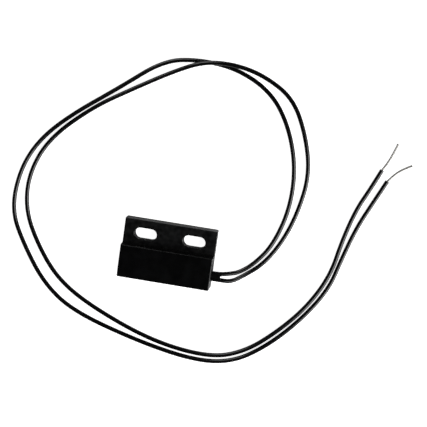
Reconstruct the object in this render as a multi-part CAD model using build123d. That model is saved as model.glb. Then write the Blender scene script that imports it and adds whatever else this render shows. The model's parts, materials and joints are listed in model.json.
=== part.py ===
"""Flange-mount door contact sensor: a potted reed switch on two stripped leads.

Millimetres. Origin: centre of the housing's mounting face. +X runs along the length towards the
leads, +Y towards the slotted flange and +Z out of the surface that the sensor is fixed to.
The leads lie on that same surface, z = 0.
"""
from build123d import *
import math
import os

# ---- housing
LENGTH = 28.8
WIDTH = 18.3
HEIGHT = 6.35
FLANGE_HEIGHT = 3.1
STEP_Y = 1.2
STEP_DRAFT = 5.0
FLANGE_DRAFT = 5.0
WALL = 1.0
ROOF = 0.9
CORNER_RADIUS = 0.35
TOP_EDGE_RADIUS = 0.25
FLANGE_EDGE_RADIUS = 0.15

# ---- mounting slots
SLOT_PITCH = 15.24
SLOT_LENGTH = 7.0
SLOT_WIDTH = 3.55
SLOT_Y = 4.65
SLOT_RIM = 0.2

# ---- potting, poured from the back
POTTING_RECESS = 0.15

# ---- leads: lead A is the one nearer the flange
WIRE_DIAMETER = 1.35
CORE_DIAMETER = 0.61
BARE_DIAMETER = 0.7
WIRE_PITCH = 1.8
LEAD_A_Y = -4.1
LEAD_B_Y = LEAD_A_Y - WIRE_PITCH
EXIT_Z = 2.6
FLOOR_GAP = 0.01
FLOOR_Z = WIRE_DIAMETER / 2 + FLOOR_GAP
WEB_HEIGHT = 1.1
WEB_REACH = 3.1
WEB_NOTCH = 0.45

# ---- reed switch, on lead A's axis
CAPSULE_X = -0.9
CAPSULE_LENGTH = 12.7
CAPSULE_DIAMETER = 1.8
CAPSULE_BORE = 1.3
SEAL_LENGTH = 1.6
REED_LEAD_DIAMETER = 0.5
REED_LEAD_REACH = 2.4
LEAD_STUB = 0.3
BLADE_WIDTH = 1.0
BLADE_THICKNESS = 0.18
BLADE_OVERLAP = 1.0
CONTACT_GAP = 0.08
ROOT_CLEARANCE = 0.02

# ---- splices
SPLICE_LENGTH = 2.2
SLEEVE_LENGTH = 4.6
SLEEVE_WALL = 0.2
INSULATION_SETBACK = 0.6

# ---- the share of a run that the arc at each of its ends may take up, and a fine tolerance
ARC_SHARE = 0.45
TOLERANCE = 0.01

HALF_LENGTH = LENGTH / 2
WIRE_RADIUS = WIRE_DIAMETER / 2
INNER_WALL_X = HALF_LENGTH - WALL
CAPSULE_END = CAPSULE_LENGTH / 2
SPLICE_START = CAPSULE_END + REED_LEAD_REACH - SPLICE_LENGTH / 2
SPLICE_END = SPLICE_START + SPLICE_LENGTH
SLEEVE_OVERHANG = (SLEEVE_LENGTH - SPLICE_LENGTH) / 2

# Routes of the free leads, from the housing's side wall to the end of the insulation.
ROUTE_A = [
    (HALF_LENGTH, LEAD_A_Y, EXIT_Z),
    (16.6, LEAD_A_Y, EXIT_Z),
    (19.6, -3.6, 1.9),
    (22.6, -2.8, 1.0),
    (26.9, 0.7, FLOOR_Z),
    (31.6, 7.3, FLOOR_Z),
    (35.0, 19.0, FLOOR_Z),
    (34.9, 31.5, FLOOR_Z),
    (31.2, 43.4, FLOOR_Z),
    (24.6, 53.1, FLOOR_Z),
    (13.5, 58.8, FLOOR_Z),
    (1.5, 60.0, FLOOR_Z),
    (-9.5, 58.2, FLOOR_Z),
    (-22.1, 47.9, FLOOR_Z),
    (-36.0, 37.3, FLOOR_Z),
    (-44.8, 28.3, FLOOR_Z),
    (-49.7, 18.0, FLOOR_Z),
    (-50.8, 5.0, FLOOR_Z),
    (-45.3, -5.6, FLOOR_Z),
    (-37.4, -16.6, FLOOR_Z),
    (-27.0, -23.8, FLOOR_Z),
    (-5.0, -29.9, FLOOR_Z),
    (13.0, -32.8, FLOOR_Z),
    (24.6, -31.2, FLOOR_Z),
    (34.3, -24.5, FLOOR_Z),
    (43.6, -14.4, FLOOR_Z),
    (50.5, -3.6, FLOOR_Z),
    (52.9, 6.0, FLOOR_Z),
    (55.9, 16.4, FLOOR_Z),
    (59.6, 24.8, FLOOR_Z),
    (62.9, 32.1, FLOOR_Z),
]
# Lead B rides over lead A once, in a long low hump.
HUMP_Z = FLOOR_Z + 1.6
ROUTE_B = [
    (HALF_LENGTH, LEAD_B_Y, EXIT_Z),
    (17.2, LEAD_B_Y, EXIT_Z),
    (20.6, -6.0, 1.6),
    (24.3, -3.5, FLOOR_Z),
    (29.5, 0.9, FLOOR_Z),
    (34.2, 8.5, FLOOR_Z),
    (37.6, 18.2, FLOOR_Z),
    (39.4, 30.5, FLOOR_Z),
    (36.4, 42.2, FLOOR_Z),
    (31.0, 52.6, FLOOR_Z),
    (21.5, 58.0, FLOOR_Z + 0.1),
    (12.5, 60.2, HUMP_Z),
    (3.0, 59.7, HUMP_Z),
    (-6.0, 55.4, FLOOR_Z + 0.1),
    (-17.5, 48.4, FLOOR_Z),
    (-29.4, 40.8, FLOOR_Z),
    (-41.7, 29.2, FLOOR_Z),
    (-46.8, 17.2, FLOOR_Z),
    (-46.3, 5.4, FLOOR_Z),
    (-40.4, -5.6, FLOOR_Z),
    (-33.0, -14.6, FLOOR_Z),
    (-21.6, -21.3, FLOOR_Z),
    (-1.5, -28.9, FLOOR_Z),
    (17.3, -31.1, FLOOR_Z),
    (28.1, -27.2, FLOOR_Z),
    (37.6, -18.7, FLOOR_Z),
    (45.1, -9.6, FLOOR_Z),
    (50.4, 0.9, FLOOR_Z),
    (52.3, 12.2, FLOOR_Z),
    (55.1, 22.4, FLOOR_Z),
    (58.1, 28.7, FLOOR_Z),
    (60.8, 35.2, FLOOR_Z),
]
# The bare ends start at the middle of the insulation's end face and sink towards the surface.
STRANDS_A = [ROUTE_A[-1], (64.5, 34.2, 0.6), (66.9, 36.4, 0.45), (69.6, 37.9, 0.36)]
STRANDS_B = [ROUTE_B[-1], (62.1, 37.5, 0.6), (63.4, 40.7, 0.45), (64.4, 43.8, 0.36)]


def cylinder_x(diameter, x_from, x_to, y, z):
    """A round bar along X."""
    start = Plane((min(x_from, x_to), y, z), z_dir=(1, 0, 0))
    return extrude(start * Circle(diameter / 2), amount=abs(x_to - x_from))


def block(low, high):
    """A box given by its lowest and highest corners."""
    size = [b - a for a, b in zip(low, high)]
    middle = [(a + b) / 2 for a, b in zip(low, high)]
    return Pos(*middle) * Box(*size)


def corner_radii(points):
    """The largest tangent arc that each corner's two runs allow."""
    corners = [Vector(*p) for p in points]
    radii = []
    for before, corner, after in zip(corners, corners[1:], corners[2:]):
        run_in = corner - before
        run_out = after - corner
        half_turn = math.radians(run_in.get_angle(run_out)) / 2
        radii.append(ARC_SHARE * min(run_in.length, run_out.length) / math.tan(half_turn))
    return radii


def tube(name, points, diameter):
    """A round tube of straight runs joined by tangent arcs."""
    radii = corner_radii(points)
    path = FilletPolyline(*points, radius=radii)
    solid = sweep(Plane(path @ 0, z_dir=path % 0) * Circle(diameter / 2), path=path)
    section = math.pi * diameter**2 / 4
    print(f"{name}: length {path.length:.1f}, tightest arc {min(radii):.1f},",
          f"volume over section x length {solid.volume / (section * path.length):.4f}")
    print("  radii", [round(r, 1) for r in radii])
    return solid


# ---- housing

def slot_outlines():
    """The two mounting slots, side by side along the flange."""
    outline = SlotOverall(SLOT_LENGTH, SLOT_WIDTH)
    return [Pos(side * SLOT_PITCH / 2, SLOT_Y, 0) * outline for side in (-1, 1)]


def beside_a_slot(place):
    """Whether a point of the flange's face lies on a slot's rim."""
    off_x = abs(abs(place.X) - SLOT_PITCH / 2)
    off_y = abs(place.Y - SLOT_Y)
    return off_x < SLOT_LENGTH / 2 + TOLERANCE and off_y < SLOT_WIDTH / 2 + TOLERANCE


def wire_passage():
    """The hole in the side wall that the two leads and their web fill."""
    x_from = INNER_WALL_X
    x_to = HALF_LENGTH
    passage = block((x_from, LEAD_B_Y, EXIT_Z - WEB_HEIGHT / 2),
                    (x_to, LEAD_A_Y, EXIT_Z + WEB_HEIGHT / 2))
    for y in (LEAD_A_Y, LEAD_B_Y):
        passage += cylinder_x(WIRE_DIAMETER, x_from, x_to, y, EXIT_Z)
    return passage


def cavity():
    """The pocket under the raised box, open at the back."""
    return block((-INNER_WALL_X, -WIDTH / 2 + WALL, 0),
                 (INNER_WALL_X, STEP_Y - WALL, HEIGHT - ROOF))


def side_profile():
    """The section across the length: the flange, its rounded outer edge, the step and the box."""
    edge_y = WIDTH / 2
    flange_lean = FLANGE_HEIGHT * math.tan(math.radians(FLANGE_DRAFT))
    step_lean = (HEIGHT - FLANGE_HEIGHT) * math.tan(math.radians(STEP_DRAFT))
    corner = (edge_y - flange_lean, FLANGE_HEIGHT)
    outline = make_face(Polyline(
        (-edge_y, 0), (edge_y, 0), corner, (STEP_Y, FLANGE_HEIGHT),
        (STEP_Y - step_lean, HEIGHT), (-edge_y, HEIGHT), close=True))
    return fillet(outline.vertices().sort_by_distance(corner)[0], FLANGE_EDGE_RADIUS)


def housing():
    """A flange with two slots beside a raised box that holds the switch."""
    body = extrude(Plane.YZ.offset(-HALF_LENGTH) * side_profile(), amount=LENGTH)
    body &= extrude(RectangleRounded(LENGTH, WIDTH, CORNER_RADIUS), amount=HEIGHT)
    body = fillet(body.faces().sort_by(Axis.Z)[-1].edges(), TOP_EDGE_RADIUS)
    body -= cavity()
    body -= wire_passage()
    for outline in slot_outlines():
        body -= extrude(outline, amount=FLANGE_HEIGHT)
    rims = [edge for edge in body.edges().filter_by_position(Axis.Z, FLANGE_HEIGHT, FLANGE_HEIGHT)
            if beside_a_slot(edge.center())]
    return chamfer(rims, SLOT_RIM)


# ---- reed switch and its splices. side is +1 at the end near the leads' exit, -1 at the far end.

def along(side, distance):
    """X of a point on the capsule's axis, measured outwards from the capsule's middle."""
    return CAPSULE_X + side * distance


def glass_capsule():
    """A glass tube sealed round the two reed leads."""
    glass = cylinder_x(CAPSULE_DIAMETER, along(-1, CAPSULE_END), along(1, CAPSULE_END), LEAD_A_Y, EXIT_Z)
    glass = fillet(glass.edges(), CAPSULE_DIAMETER / 4)
    room = CAPSULE_END - SEAL_LENGTH
    glass -= cylinder_x(CAPSULE_BORE, along(-1, room), along(1, room), LEAD_A_Y, EXIT_Z)
    glass -= cylinder_x(REED_LEAD_DIAMETER, along(-1, CAPSULE_END), along(1, CAPSULE_END),
                        LEAD_A_Y, EXIT_Z)
    return glass


def blade_hinge(side):
    """Where a blade flexes: just inside its seal, on the blade's own centre line."""
    x = along(side, CAPSULE_END - SEAL_LENGTH - LEAD_STUB)
    y = LEAD_A_Y + side * (CONTACT_GAP + BLADE_THICKNESS) / 2
    return x, y


def reed_blade(side):
    """A flat paddle, rounded at its root, whose tip overlaps the other blade's."""
    x, y = blade_hinge(side)
    tip = along(-side, BLADE_OVERLAP / 2)
    half = BLADE_THICKNESS / 2
    low_z = EXIT_Z - BLADE_WIDTH / 2
    paddle = block((min(x, tip), y - half, low_z), (max(x, tip), y + half, low_z + BLADE_WIDTH))
    root = extrude(Pos(x, y, low_z) * Circle(half), amount=BLADE_WIDTH)
    return paddle + root


def reed_lead(side):
    """The round lead through the seal, from the blade's root to the splice's middle."""
    root = CAPSULE_END - SEAL_LENGTH - LEAD_STUB + BLADE_THICKNESS / 2 + ROOT_CLEARANCE
    return cylinder_x(REED_LEAD_DIAMETER, along(side, root), along(side, SPLICE_START + SPLICE_LENGTH / 2),
                      LEAD_A_Y, EXIT_Z)


def wire_core(side):
    """The stripped conductor: straight into the near splice, or folded back into the far one."""
    joint = along(side, SPLICE_START + SPLICE_LENGTH / 2)
    if side > 0:
        return cylinder_x(CORE_DIAMETER, joint, HALF_LENGTH, LEAD_A_Y, EXIT_Z)
    fold = along(side, SPLICE_END + INSULATION_SETBACK)
    straight = Line((HALF_LENGTH, LEAD_B_Y, EXIT_Z), (fold, LEAD_B_Y, EXIT_Z))
    half_turn = ThreePointArc((fold, LEAD_B_Y, EXIT_Z),
                              (fold - WIRE_PITCH / 2, (LEAD_A_Y + LEAD_B_Y) / 2, EXIT_Z),
                              (fold, LEAD_A_Y, EXIT_Z))
    back = Line((fold, LEAD_A_Y, EXIT_Z), (joint, LEAD_A_Y, EXIT_Z))
    path = straight + half_turn + back
    section = Plane((HALF_LENGTH, LEAD_B_Y, EXIT_Z), z_dir=(-1, 0, 0)) * Circle(CORE_DIAMETER / 2)
    return sweep(section, path=path)


def wire_tail(side):
    """The insulation inside the housing, from the strip line to the outer wall face."""
    if side > 0:
        y = LEAD_A_Y
        strip = along(side, SPLICE_END + INSULATION_SETBACK)
    else:
        y = LEAD_B_Y
        strip = along(side, SPLICE_END - INSULATION_SETBACK)
    return cylinder_x(WIRE_DIAMETER, strip, HALF_LENGTH, y, EXIT_Z) - wire_core(side)


def splice(side):
    """Solder round the meeting ends of a reed lead and a conductor."""
    solder = cylinder_x(WIRE_DIAMETER, along(side, SPLICE_START), along(side, SPLICE_END), LEAD_A_Y, EXIT_Z)
    solder = fillet(solder.edges(), WIRE_RADIUS / 2)
    return solder - reed_lead(side) - wire_core(side)


def sleeve(side):
    """Insulating sleeve round a splice."""
    ends = along(side, SPLICE_START - SLEEVE_OVERHANG), along(side, SPLICE_END + SLEEVE_OVERHANG)
    outer = cylinder_x(WIRE_DIAMETER + 2 * SLEEVE_WALL, *ends, LEAD_A_Y, EXIT_Z)
    return outer - cylinder_x(WIRE_DIAMETER, *ends, LEAD_A_Y, EXIT_Z)


def exit_web(wires):
    """The web left between the two leads, through the wall and just outside it, its end notched."""
    end_x = HALF_LENGTH + WEB_REACH
    web = block((INNER_WALL_X, LEAD_B_Y, EXIT_Z - WEB_HEIGHT / 2),
                (end_x, LEAD_A_Y, EXIT_Z + WEB_HEIGHT / 2))
    web -= extrude(Pos(end_x, (LEAD_A_Y + LEAD_B_Y) / 2, 0) * Circle(WEB_NOTCH), amount=HEIGHT)
    for y in (LEAD_A_Y, LEAD_B_Y):
        web -= cylinder_x(WIRE_DIAMETER, INNER_WALL_X, HALF_LENGTH, y, EXIT_Z)
    for wire in wires:
        web -= wire
    return web


def potting(inner_pieces):
    """The resin that fills the pocket round everything in it."""
    resin = cavity() & block((-HALF_LENGTH, -WIDTH, POTTING_RECESS), (HALF_LENGTH, WIDTH, HEIGHT))
    for side in (-1, 1):
        bore = along(side, SPLICE_START - SLEEVE_OVERHANG), along(side, SPLICE_END + SLEEVE_OVERHANG)
        resin -= cylinder_x(WIRE_DIAMETER, *bore, LEAD_A_Y, EXIT_Z)
    resin -= cylinder_x(CAPSULE_DIAMETER, along(-1, CAPSULE_END), along(1, CAPSULE_END), LEAD_A_Y, EXIT_Z)
    for piece in inner_pieces:
        resin -= piece
    return resin


def build():
    wire_a = tube("wire_a", ROUTE_A, WIRE_DIAMETER)
    wire_b = tube("wire_b", ROUTE_B, WIRE_DIAMETER)
    inner = {
        "glass_capsule": glass_capsule(),
        "reed_lead_near": reed_lead(1),
        "reed_lead_far": reed_lead(-1),
        "wire_a_core": wire_core(1),
        "wire_b_core": wire_core(-1),
        "wire_a_tail": wire_tail(1),
        "wire_b_tail": wire_tail(-1),
        "splice_near": splice(1),
        "splice_far": splice(-1),
        "sleeve_near": sleeve(1),
        "sleeve_far": sleeve(-1),
    }
    web = exit_web([wire_a, wire_b])
    parts = {
        "housing": housing(),
        "potting": potting(inner.values()),
        "reed_blade_near": reed_blade(1),
        "reed_blade_far": reed_blade(-1),
        "exit_web": web,
        "wire_a": wire_a,
        "wire_b": wire_b,
        "strands_a": tube("strands_a", STRANDS_A, BARE_DIAMETER),
        "strands_b": tube("strands_b", STRANDS_B, BARE_DIAMETER),
    }
    parts.update(inner)
    return parts


os.makedirs("parts", exist_ok=True)
for node, shape in build().items():
    export_step(shape, f"parts/{node}.step")
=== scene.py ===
"""Door contact sensor on a pale floor: CAD housing and reed switch, two loose leads with bare ends."""

import json
import math

import bpy
from mathutils import Matrix, Vector


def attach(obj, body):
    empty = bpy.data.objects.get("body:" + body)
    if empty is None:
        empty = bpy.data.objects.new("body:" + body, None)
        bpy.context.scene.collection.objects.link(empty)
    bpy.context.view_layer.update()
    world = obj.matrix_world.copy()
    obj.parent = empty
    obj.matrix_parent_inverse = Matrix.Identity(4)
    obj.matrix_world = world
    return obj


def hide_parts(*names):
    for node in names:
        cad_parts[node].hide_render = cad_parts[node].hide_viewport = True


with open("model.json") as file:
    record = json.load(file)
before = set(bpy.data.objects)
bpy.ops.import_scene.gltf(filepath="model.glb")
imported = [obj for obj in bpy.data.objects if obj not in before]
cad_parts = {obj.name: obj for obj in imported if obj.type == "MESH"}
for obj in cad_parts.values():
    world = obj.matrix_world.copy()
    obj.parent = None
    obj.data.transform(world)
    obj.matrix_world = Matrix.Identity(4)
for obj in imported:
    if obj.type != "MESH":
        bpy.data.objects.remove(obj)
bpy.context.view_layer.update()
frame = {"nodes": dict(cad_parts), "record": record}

MM = 0.001

# ---- the leads, in millimetres: the same route points as in part.py
WIRE_DIAMETER = 1.35
BARE_DIAMETER = 0.7
STRAND_COUNT = 7
STRAND_DIAMETER = 0.2
STRAND_FIT = 0.98
TWIST_PITCH = 5.0
FLOOR_GAP = 0.01
FLOOR_Z = WIRE_DIAMETER / 2 + FLOOR_GAP
HOUSING_LENGTH = 28.8
EXIT_X = HOUSING_LENGTH / 2
EXIT_Z = 2.6
LEAD_A_Y = -4.1
WIRE_PITCH = 1.8
LEAD_B_Y = LEAD_A_Y - WIRE_PITCH
ROUTE_A = [
    (EXIT_X, LEAD_A_Y, EXIT_Z),
    (16.6, LEAD_A_Y, EXIT_Z),
    (19.6, -3.6, 1.9),
    (22.6, -2.8, 1.0),
    (26.9, 0.7, FLOOR_Z),
    (31.6, 7.3, FLOOR_Z),
    (35.0, 19.0, FLOOR_Z),
    (34.9, 31.5, FLOOR_Z),
    (31.2, 43.4, FLOOR_Z),
    (24.6, 53.1, FLOOR_Z),
    (13.5, 58.8, FLOOR_Z),
    (1.5, 60.0, FLOOR_Z),
    (-9.5, 58.2, FLOOR_Z),
    (-22.1, 47.9, FLOOR_Z),
    (-36.0, 37.3, FLOOR_Z),
    (-44.8, 28.3, FLOOR_Z),
    (-49.7, 18.0, FLOOR_Z),
    (-50.8, 5.0, FLOOR_Z),
    (-45.3, -5.6, FLOOR_Z),
    (-37.4, -16.6, FLOOR_Z),
    (-27.0, -23.8, FLOOR_Z),
    (-5.0, -29.9, FLOOR_Z),
    (13.0, -32.8, FLOOR_Z),
    (24.6, -31.2, FLOOR_Z),
    (34.3, -24.5, FLOOR_Z),
    (43.6, -14.4, FLOOR_Z),
    (50.5, -3.6, FLOOR_Z),
    (52.9, 6.0, FLOOR_Z),
    (55.9, 16.4, FLOOR_Z),
    (59.6, 24.8, FLOOR_Z),
    (62.9, 32.1, FLOOR_Z),
]
# Lead B rides over lead A once, in a long low hump.
HUMP_Z = FLOOR_Z + 1.6
ROUTE_B = [
    (EXIT_X, LEAD_B_Y, EXIT_Z),
    (17.2, LEAD_B_Y, EXIT_Z),
    (20.6, -6.0, 1.6),
    (24.3, -3.5, FLOOR_Z),
    (29.5, 0.9, FLOOR_Z),
    (34.2, 8.5, FLOOR_Z),
    (37.6, 18.2, FLOOR_Z),
    (39.4, 30.5, FLOOR_Z),
    (36.4, 42.2, FLOOR_Z),
    (31.0, 52.6, FLOOR_Z),
    (21.5, 58.0, FLOOR_Z + 0.1),
    (12.5, 60.2, HUMP_Z),
    (3.0, 59.7, HUMP_Z),
    (-6.0, 55.4, FLOOR_Z + 0.1),
    (-17.5, 48.4, FLOOR_Z),
    (-29.4, 40.8, FLOOR_Z),
    (-41.7, 29.2, FLOOR_Z),
    (-46.8, 17.2, FLOOR_Z),
    (-46.3, 5.4, FLOOR_Z),
    (-40.4, -5.6, FLOOR_Z),
    (-33.0, -14.6, FLOOR_Z),
    (-21.6, -21.3, FLOOR_Z),
    (-1.5, -28.9, FLOOR_Z),
    (17.3, -31.1, FLOOR_Z),
    (28.1, -27.2, FLOOR_Z),
    (37.6, -18.7, FLOOR_Z),
    (45.1, -9.6, FLOOR_Z),
    (50.4, 0.9, FLOOR_Z),
    (52.3, 12.2, FLOOR_Z),
    (55.1, 22.4, FLOOR_Z),
    (58.1, 28.7, FLOOR_Z),
    (60.8, 35.2, FLOOR_Z),
]
STRANDS_A = [ROUTE_A[-1], (64.5, 34.2, 0.6), (66.9, 36.4, 0.45), (69.6, 37.9, 0.36)]
STRANDS_B = [ROUTE_B[-1], (62.1, 37.5, 0.6), (63.4, 40.7, 0.45), (64.4, 43.8, 0.36)]

# ---- the housing: height of the flange's face, where the box begins
STEP_HEIGHT = 3.1

# ---- camera and light
CAMERA_TARGET = (12.0, 13.9, 0.0)
CAMERA_DISTANCE = 461.7
CAMERA_TURN = (-8.27, 6.85, 8.17)
CAMERA_FOCAL = 126.5
SENSOR_WIDTH = 36.0
FLOOR_PAPER = 0.85
FLOOR_GLOW = 0.95
FLOOR_REACH = 3.0
WORLD_COLOR = (0.9, 0.93, 1.0, 1.0)
WORLD_STRENGTH = 0.02


def link(obj):
    """Put an object in the scene and hand it back."""
    bpy.context.scene.collection.objects.link(obj)
    return obj


# ---- materials

GLOSS_SPREAD = 0.08
WEAR_RADIUS = 0.3
FLAT_BELOW_TURN = 0.995
EDGE_ABOVE_TURN = 0.93
DULL_COLOR = (0.009, 0.009, 0.0092)
DULL_ROUGHNESS = 0.05
MOTTLE_MM = 1.4
MOTTLE_RANGE = (0.38, 0.66)
DULL_FADE = 0.1


def ramp(nodes, low, high, start=0.3, end=0.7):
    """A two-stop colour ramp between two linear colours."""
    node = nodes.new("ShaderNodeValToRGB")
    stops = node.color_ramp.elements
    stops[0].position = start
    stops[1].position = end
    stops[0].color = (*low, 1.0)
    stops[1].color = (*high, 1.0)
    return node


def noise(nodes, links, coords, scale, detail=3.0, roughness=0.55):
    """A noise texture in the object's own coordinates."""
    node = nodes.new("ShaderNodeTexNoise")
    node.inputs["Scale"].default_value = scale
    node.inputs["Detail"].default_value = detail
    node.inputs["Roughness"].default_value = roughness
    links.new(coords, node.inputs["Vector"])
    return node


def edge_mask(nodes, links, radius_mm):
    """1 close to a convex or concave edge and 0 on the flats, from how far a bevel would turn the normal."""
    bevel = nodes.new("ShaderNodeBevel")
    bevel.samples = 4
    bevel.inputs["Radius"].default_value = radius_mm * MM
    geometry = nodes.new("ShaderNodeNewGeometry")
    turned = nodes.new("ShaderNodeVectorMath")
    turned.operation = "DOT_PRODUCT"
    links.new(bevel.outputs["Normal"], turned.inputs[0])
    links.new(geometry.outputs["Normal"], turned.inputs[1])
    mask = nodes.new("ShaderNodeMapRange")
    mask.inputs["From Min"].default_value = FLAT_BELOW_TURN
    mask.inputs["From Max"].default_value = EDGE_ABOVE_TURN
    links.new(turned.outputs["Value"], mask.inputs["Value"])
    return mask.outputs["Result"]


def product(nodes, links, first, second):
    node = nodes.new("ShaderNodeMath")
    node.operation = "MULTIPLY"
    links.new(first, node.inputs[0])
    links.new(second, node.inputs[1])
    return node.outputs["Value"]


def mixed_color(nodes, links, factor, base, color):
    node = nodes.new("ShaderNodeMix")
    node.data_type = "RGBA"
    node.inputs["B"].default_value = (*color, 1.0)
    links.new(factor, node.inputs["Factor"])
    links.new(base, node.inputs["A"])
    return node.outputs["Result"]


def surface(name, color, spread, roughness, grain_mm, bump_mm, blotch_mm=4.0, metallic=0.0,
            specular=0.5, coat=0.0, alpha=1.0, edge_wear=0.0, dull_below=None):
    """A moulded, drawn or cast surface: blotched colour, uneven gloss and a fine grain.

    edge_wear lightens the edges. All that is lower than dull_below, in mm, is duller and mottled paler.
    """
    material = bpy.data.materials.new(name)
    material.use_nodes = True
    nodes = material.node_tree.nodes
    links = material.node_tree.links
    shader = nodes["Principled BSDF"]
    coords = nodes.new("ShaderNodeTexCoord").outputs["Object"]
    blotches = noise(nodes, links, coords, 1 / (blotch_mm * MM))
    grain = noise(nodes, links, coords, 1 / (grain_mm * MM), detail=5.0, roughness=0.65)

    low = [c * (1 - spread) for c in color]
    high = [min(c * (1 + spread), 1.0) for c in color]
    tint = ramp(nodes, low, high)
    links.new(blotches.outputs["Fac"], tint.inputs["Fac"])
    base = tint.outputs["Color"]

    gloss = nodes.new("ShaderNodeMapRange")
    gloss.inputs["To Min"].default_value = max(roughness - GLOSS_SPREAD, 0.02)
    gloss.inputs["To Max"].default_value = min(roughness + GLOSS_SPREAD, 1.0)
    links.new(blotches.outputs["Fac"], gloss.inputs["Value"])
    rough = gloss.outputs["Result"]

    if dull_below is not None:
        height = nodes.new("ShaderNodeSeparateXYZ")
        links.new(coords, height.inputs["Vector"])
        low_zone = nodes.new("ShaderNodeMapRange")
        low_zone.inputs["From Min"].default_value = (dull_below + DULL_FADE) * MM
        low_zone.inputs["From Max"].default_value = dull_below * MM
        links.new(height.outputs["Z"], low_zone.inputs["Value"])
        streaks = noise(nodes, links, coords, 1 / (MOTTLE_MM * MM), detail=4.0, roughness=0.6)
        patchy = nodes.new("ShaderNodeMapRange")
        patchy.inputs["From Min"].default_value = MOTTLE_RANGE[0]
        patchy.inputs["From Max"].default_value = MOTTLE_RANGE[1]
        links.new(streaks.outputs["Fac"], patchy.inputs["Value"])
        mottled = product(nodes, links, low_zone.outputs["Result"], patchy.outputs["Result"])
        base = mixed_color(nodes, links, mottled, base, DULL_COLOR)
        duller = nodes.new("ShaderNodeMath")
        duller.operation = "MULTIPLY_ADD"
        duller.inputs[1].default_value = DULL_ROUGHNESS
        links.new(low_zone.outputs["Result"], duller.inputs[0])
        links.new(rough, duller.inputs[2])
        rough = duller.outputs["Value"]
    if edge_wear > 0:
        patches = product(nodes, links, edge_mask(nodes, links, WEAR_RADIUS), grain.outputs["Fac"])
        base = mixed_color(nodes, links, patches, base, [min(c + edge_wear, 1.0) for c in color])
    links.new(base, shader.inputs["Base Color"])
    links.new(rough, shader.inputs["Roughness"])

    bump = nodes.new("ShaderNodeBump")
    bump.inputs["Strength"].default_value = 1.0
    bump.inputs["Distance"].default_value = bump_mm * MM
    links.new(grain.outputs["Fac"], bump.inputs["Height"])
    links.new(bump.outputs["Normal"], shader.inputs["Normal"])

    shader.inputs["Metallic"].default_value = metallic
    shader.inputs["Specular IOR Level"].default_value = specular
    shader.inputs["Coat Weight"].default_value = coat
    shader.inputs["Alpha"].default_value = alpha
    return material


def make_materials():
    return {
        "shell": surface("shell", (0.0011, 0.0011, 0.0012), 0.6, 0.28, 0.12, 0.002, specular=0.3,
                         edge_wear=0.003, dull_below=STEP_HEIGHT),
        "resin": surface("resin", (0.004, 0.004, 0.005), 0.3, 0.2, 1.5, 0.06, blotch_mm=6.0),
        "capsule_glass": surface("capsule_glass", (0.55, 0.72, 0.62), 0.05, 0.06, 0.8, 0.002, alpha=0.4),
        "reed_metal": surface("reed_metal", (0.62, 0.6, 0.56), 0.08, 0.28, 0.05, 0.002, metallic=1.0),
        "solder": surface("solder", (0.7, 0.7, 0.72), 0.12, 0.25, 0.3, 0.02, metallic=1.0),
        "sleeving": surface("sleeving", (0.6, 0.58, 0.5), 0.08, 0.5, 0.2, 0.01),
        "conductor": surface("conductor", (0.4, 0.39, 0.37), 0.15, 0.34, 0.08, 0.003, metallic=0.9,
                             blotch_mm=0.7),
        "wire_jacket": surface("wire_jacket", (0.0016, 0.0016, 0.0017), 0.25, 0.2, 0.15, 0.003,
                               blotch_mm=2.5, specular=0.5),
    }


# ---- the leads

def metres(points):
    """Millimetre points in metres."""
    return [tuple(c * MM for c in p) for p in points]


def route_curve(name, points, diameter=0.0):
    """One open NURBS spline through the route, round in section when a diameter is given."""
    data = bpy.data.curves.new(name, "CURVE")
    data.dimensions = "3D"
    data.resolution_u = 12
    spline = data.splines.new("NURBS")
    spline.points.add(len(points) - 1)
    for point, place in zip(spline.points, metres(points)):
        point.co = (*place, 1.0)
    spline.order_u = 3
    spline.use_endpoint_u = True
    if diameter:
        data.bevel_depth = diameter / 2 * MM
        data.bevel_resolution = 6
        data.use_fill_caps = True
    return link(bpy.data.objects.new(name, data))


def line_of(points):
    """Evenly evaluated points of the route's smooth line."""
    guide = route_curve("guide", points)
    guide.data.resolution_u = 24
    bpy.context.view_layer.update()
    mesh = bpy.data.meshes.new_from_object(guide.evaluated_get(bpy.context.evaluated_depsgraph_get()))
    line = [v.co.copy() for v in mesh.vertices]
    bpy.data.objects.remove(guide)
    bpy.data.meshes.remove(mesh)
    return line


def frames_along(line):
    """A point, two cross directions and the distance run, at each point of a line."""
    found = []
    side = None
    run = 0.0
    for i, point in enumerate(line):
        ahead = (line[min(i + 1, len(line) - 1)] - line[max(i - 1, 0)]).normalized()
        if side is None:
            side = ahead.orthogonal().normalized()
        side = (side - ahead * side.dot(ahead)).normalized()
        found.append((point, side, ahead.cross(side), run))
        if i + 1 < len(line):
            run += (line[i + 1] - point).length
    return found


def strand_bundle(name, points):
    """One straight strand with the others twisted round it."""
    strand_radius = STRAND_DIAMETER / 2 * MM
    stations = frames_along(line_of(points))
    data = bpy.data.curves.new(name, "CURVE")
    data.dimensions = "3D"
    data.bevel_depth = strand_radius * STRAND_FIT
    data.bevel_resolution = 3
    data.use_fill_caps = True
    for k in range(STRAND_COUNT):
        spline = data.splines.new("POLY")
        spline.points.add(len(stations) - 1)
        for point, (centre, side, up, run) in zip(spline.points, stations):
            angle = 2 * math.pi * (k / (STRAND_COUNT - 1) + run / (TWIST_PITCH * MM))
            reach = 0.0 if k == 0 else BARE_DIAMETER / 2 * MM - strand_radius
            place = centre + (side * math.cos(angle) + up * math.sin(angle)) * reach
            point.co = (*place, 1.0)
    return link(bpy.data.objects.new(name, data))


def make_lead(side, route, strands):
    wire = route_curve(f"lead_{side}", route, WIRE_DIAMETER)
    wire.data.materials.append(materials["wire_jacket"])
    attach(wire, "sensor")
    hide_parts(f"wire_{side}")
    bare = strand_bundle(f"lead_{side}_strands", strands)
    bare.data.materials.append(materials["conductor"])
    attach(bare, "sensor")
    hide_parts(f"strands_{side}")


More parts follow.
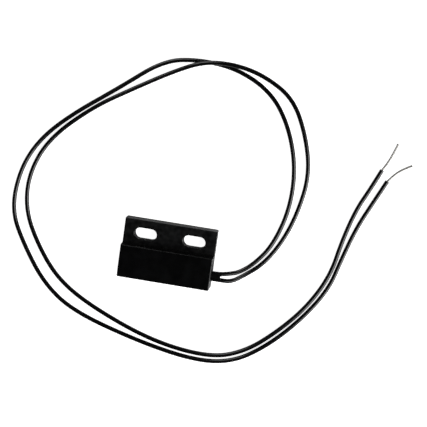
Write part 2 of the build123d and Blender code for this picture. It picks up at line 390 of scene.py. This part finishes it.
def finish_cad_nodes():
    """Each carried-over CAD node takes the detailed material of its record slot."""
    for part in frame["record"]["subparts"]:
        node = frame["nodes"][part["node"]]
        node.data.materials.clear()
        node.data.materials.append(materials[part["material_slot"]])


# ---- studio

def make_floor():
    """A pale floor: near white to look at, and no brighter than lit paper to the object above it."""
    material = bpy.data.materials.new("floor")
    material.use_nodes = True
    nodes = material.node_tree.nodes
    links = material.node_tree.links
    nodes.clear()
    paper = nodes.new("ShaderNodeBsdfDiffuse")
    paper.inputs["Color"].default_value = (FLOOR_PAPER, FLOOR_PAPER, FLOOR_PAPER, 1.0)
    glow = nodes.new("ShaderNodeEmission")
    glow.inputs["Strength"].default_value = FLOOR_GLOW
    seen = nodes.new("ShaderNodeAddShader")
    links.new(paper.outputs["BSDF"], seen.inputs[0])
    links.new(glow.outputs["Emission"], seen.inputs[1])
    either = nodes.new("ShaderNodeMixShader")
    links.new(nodes.new("ShaderNodeLightPath").outputs["Is Camera Ray"], either.inputs["Fac"])
    links.new(paper.outputs["BSDF"], either.inputs[1])
    links.new(seen.outputs["Shader"], either.inputs[2])
    links.new(either.outputs["Shader"], nodes.new("ShaderNodeOutputMaterial").inputs["Surface"])
    mesh = bpy.data.meshes.new("floor")
    corners = [(x * FLOOR_REACH, y * FLOOR_REACH, 0) for x, y in ((-1, -1), (1, -1), (1, 1), (-1, 1))]
    mesh.from_pydata(corners, [], [(0, 1, 2, 3)])
    mesh.materials.append(material)
    link(bpy.data.objects.new("floor", mesh))


def make_light(name, azimuth, elevation, distance, size, power):
    """A square soft box aimed at the middle of the view; azimuth 0 is on the -Y side."""
    target = Vector(metres([CAMERA_TARGET])[0])
    around = math.radians(azimuth)
    lift = math.radians(elevation)
    away = Vector((math.sin(around) * math.cos(lift), -math.cos(around) * math.cos(lift), math.sin(lift)))
    data = bpy.data.lights.new(name, "AREA")
    data.size = size
    data.energy = power
    light = link(bpy.data.objects.new(name, data))
    light.matrix_world = (Matrix.Translation(target + away * distance)
                          @ away.to_track_quat("Z", "Y").to_matrix().to_4x4())


def make_studio():
    make_floor()
    make_light("key", 70, 28, 0.7, 0.7, 9.0)
    make_light("fill", -150, 30, 0.8, 0.4, 2.0)
    world = bpy.data.worlds.new("studio")
    world.use_nodes = True
    background = world.node_tree.nodes["Background"]
    background.inputs["Color"].default_value = WORLD_COLOR
    background.inputs["Strength"].default_value = WORLD_STRENGTH
    bpy.context.scene.world = world
    bpy.context.scene.view_settings.view_transform = "Standard"


def make_camera():
    data = bpy.data.cameras.new("camera")
    data.sensor_width = SENSOR_WIDTH
    data.lens = CAMERA_FOCAL
    camera = link(bpy.data.objects.new("camera", data))
    camera.rotation_euler = [math.radians(a) for a in CAMERA_TURN]
    back = camera.rotation_euler.to_matrix() @ Vector((0, 0, 1))
    camera.location = (Vector(CAMERA_TARGET) + back * CAMERA_DISTANCE) * MM
    bpy.context.scene.camera = camera


materials = make_materials()
make_camera()
make_studio()
finish_cad_nodes()
make_lead("a", ROUTE_A, STRANDS_A)
make_lead("b", ROUTE_B, STRANDS_B)
